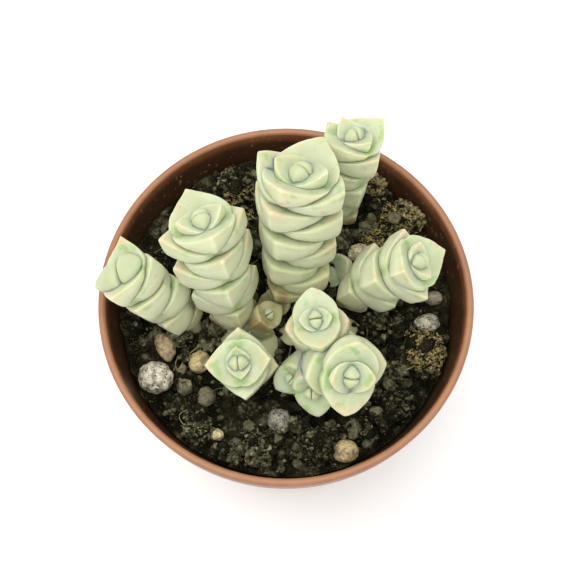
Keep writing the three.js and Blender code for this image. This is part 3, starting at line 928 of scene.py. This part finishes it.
def soil_clods():
    balls = []
    for k, (x, y, width, depth) in enumerate(CLODS):
        ball = lump((width, depth, 0.9 * min(width, depth)), 5)
        ball.location = Vector((x, y, soil_height(x, y) + 0.5)) * MM
        stored(ball, "tone", CLOD_TONES[k % len(CLOD_TONES)])
        stored(ball, "moss", MOSSY_CLODS.get(k, 0))
        balls.append(ball)
    draw = random_from(31)
    while len(balls) < len(CLODS) + LOOSE_CLODS:
        size = 1.9 + 2.6 * draw()
        radius = (inner_radius(SOIL_LEVEL) - 0.2 - 0.5 * size) * math.sqrt(draw())
        angle = 2 * math.pi * draw()
        x, y = radius * math.cos(angle), radius * math.sin(angle)
        tone = 0.5 * draw() ** 1.5
        if is_free(x, y, size / 2):
            ball = lump((size, 0.85 * size, 0.8 * size), 4)
            ball.location = Vector((x, y, soil_height(x, y) + 0.15 * size)) * MM
            stored(ball, "tone", tone)
            stored(ball, "moss", 0)
            balls.append(ball)
    clods = joined("soil_clods", balls)
    smooth = points_of(clods)
    outward = np.array([vertex.normal for vertex in clods.data.vertices])
    roughened(clods, "CLOUDS", 1.8, 1.2)
    roughened(clods, "VORONOI", 0.9, -1.3)
    roughened(clods, "CLOUDS", 0.4, 0.5)
    # The clods are painted lighter on their crests and darker in their dips: painted light and painted
    # shade.
    crest = ((points_of(clods) - smooth) * outward).sum(axis=1)
    tone = clods.data.attributes["tone"].data
    lights = np.array([spot.value for spot in tone])
    stored(clods, "tone", np.clip(lights + 0.5 * crest, 0, 1))
    kept_in_pot(clods)
    finished_soil(clods)
    return clods


def grain_shapes(count, size, detail, roughness):
    """Templates for grains one millimetre long: their points, in millimetres, and their faces."""
    shapes = []
    for k in range(count):
        ball = lump(size, detail)
        ball.location = Vector((3 * k, 0, 0)) * MM
        ball = joined("grain", [ball])
        roughened(ball, "CLOUDS", 0.5, roughness)
        points = np.array([v.co for v in ball.data.vertices]) / MM - np.array([3 * k, 0, 0])
        shapes.append((points, [tuple(p.vertices) for p in ball.data.polygons]))
        bpy.data.objects.remove(ball)
    return shapes


def resting_height(ground, x, y):
    """Height in millimetres of what lies uppermost on the soil at a place."""
    above = Vector((x, y, POT_HEIGHT + 10)) * MM
    hits = [thing.ray_cast(above, (0, 0, -1)) for thing in ground]
    return max((spot.z / MM for found, spot, _, _ in hits if found), default=SOIL_LEVEL - 2)


def root_hairs(ground):
    """Fine dry roots that bridge the crumbs in low arches."""
    draw = random_from(41)
    hairs = []
    while len(hairs) < ROOT_HAIRS:
        radius, angle = 21 * math.sqrt(draw()), 2 * math.pi * draw()
        x, y = radius * math.cos(angle), radius * math.sin(angle)
        heading = 2 * math.pi * draw()
        bend = 1.6 * draw() - 0.8
        length = 3 + 5 * draw()
        arch = 0.3 + 0.9 * draw()
        if not is_free(x, y, 1):
            continue
        bpy.ops.object.select_all(action="DESELECT")
        bpy.ops.curve.primitive_nurbs_path_add()
        hair = bpy.context.object
        hair.data.bevel_depth = (0.05 + 0.06 * draw()) * MM
        hair.data.bevel_resolution = 1
        hair.data.resolution_u = 5
        for k, point in enumerate(hair.data.splines[0].points):
            turn = heading + bend * k
            height = resting_height(ground, x, y) + arch * math.sin(math.pi * k / 4)
            point.co = (x * MM, y * MM, height * MM, 1)
            x += 0.25 * length * math.cos(turn)
            y += 0.25 * length * math.sin(turn)
            radius = math.hypot(x, y)
            if radius > ROOT_RADIUS:
                x, y = ROOT_RADIUS * x / radius, ROOT_RADIUS * y / radius
        bpy.ops.object.convert(target="MESH")
        stored(hair, "tone", 0.5 + 0.5 * draw())
        stored(hair, "moss", 0)
        hairs.append(hair)
    finished_soil(joined("soil_root_hairs", hairs))


def scattered(name, ground, shapes, count, sizes, seed, patches=(), moss=0):
    """Grains dropped on the soil and its clods, each turned at random and sunk a little. Patches are
    round places, in millimetres, that the grains keep to."""
    draw = random_from(seed)
    parts = []
    brim = inner_radius(SOIL_LEVEL) - 0.7
    low, high = sizes
    while len(parts) < count:
        middle_x, middle_y, reach = patches[int(draw() * len(patches))] if patches else (0, 0, brim)
        size = low + (high - low) * draw() ** 2.4
        radius = reach * math.sqrt(draw())
        angle = 2 * math.pi * draw()
        x, y = middle_x + radius * math.cos(angle), middle_y + radius * math.sin(angle)
        tilt = [2 * math.pi * draw() for _ in range(3)]
        points, faces = shapes[int(draw() * len(shapes))]
        tone = 0.75 * draw() ** 2
        if not is_free(x, y, size / 2) or math.hypot(x, y) > brim - 0.7 * size:
            continue
        height = resting_height(ground, x, y)
        turn = np.array(Matrix.Rotation(tilt[0], 3, "X") @ Matrix.Rotation(tilt[1], 3, "Z"))
        seat = np.array([x, y, height + 0.12 * size])
        mossy = moss if draw() < 0.8 else 0
        parts.append((points * size @ turn.T + seat, faces, {"tone": tone, "moss": mossy}))
    finished_soil(fused(name, parts), rounded=False)


fill = soil_fill()
clods = soil_clods()
bpy.context.view_layer.update()
ground = [fill, clods]
crumb = grain_shapes(6, (1, 0.85, 0.75), 2, 0.7)
scattered("soil_crumbs", ground, crumb, CRUMBS, (0.7, 2.6), 21)
grain = grain_shapes(4, (1, 0.8, 0.7), 1, 0.4)
scattered("soil_grit", ground, grain, GRITS, (0.25, 0.8), 22)
heaps = [(x, y, 0.5 * max(width, depth)) for x, y, width, depth in CLODS]
flake = grain_shapes(4, (1, 0.6, 0.5), 1, 0.4)
scattered("soil_fuzz", ground, flake, FUZZ, (0.25, 0.9), 23, heaps)
sliver = grain_shapes(4, (1, 0.3, 0.26), 1, 0.2)
scattered("soil_moss", ground, sliver, MOSS_BITS, (0.5, 1.5), 24, MOSSY, 1)
root_hairs(ground)

# Floor and light: the pot stands on a plain white table under a wide, soft studio light.
TABLE_WHITE = (0.93, 0.93, 0.92, 1)
ROOM_WHITE = (1, 1, 0.99, 1)
ROOM_STRENGTH = 0.85
LAMP_SPOT = Vector((-0.15, -0.05, 0.9))
LAMP_AIM = Vector((0, 0, 0.04))
LAMP_SIZE = 1
LAMP_POWER = 9


def studio():
    bpy.ops.object.select_all(action="DESELECT")
    bpy.ops.mesh.primitive_plane_add(size=6)
    floor = bpy.context.object
    floor.name = "floor"
    material, shader, place = new_finish("white table", {"Roughness": 0.8, "Base Color": TABLE_WHITE})
    floor.data.materials.append(material)
    world = bpy.data.worlds.new("soft white room")
    world.use_nodes = True
    background = world.node_tree.nodes["Background"]
    background.inputs["Color"].default_value = ROOM_WHITE
    background.inputs["Strength"].default_value = ROOM_STRENGTH
    bpy.context.scene.world = world
    bpy.ops.object.light_add(type="AREA", location=LAMP_SPOT)
    lamp = bpy.context.object
    lamp.name = "key"
    lamp.data.size = LAMP_SIZE
    lamp.data.energy = LAMP_POWER
    lamp.rotation_euler = (LAMP_AIM - LAMP_SPOT).to_track_quat("-Z", "Y").to_euler()


studio()
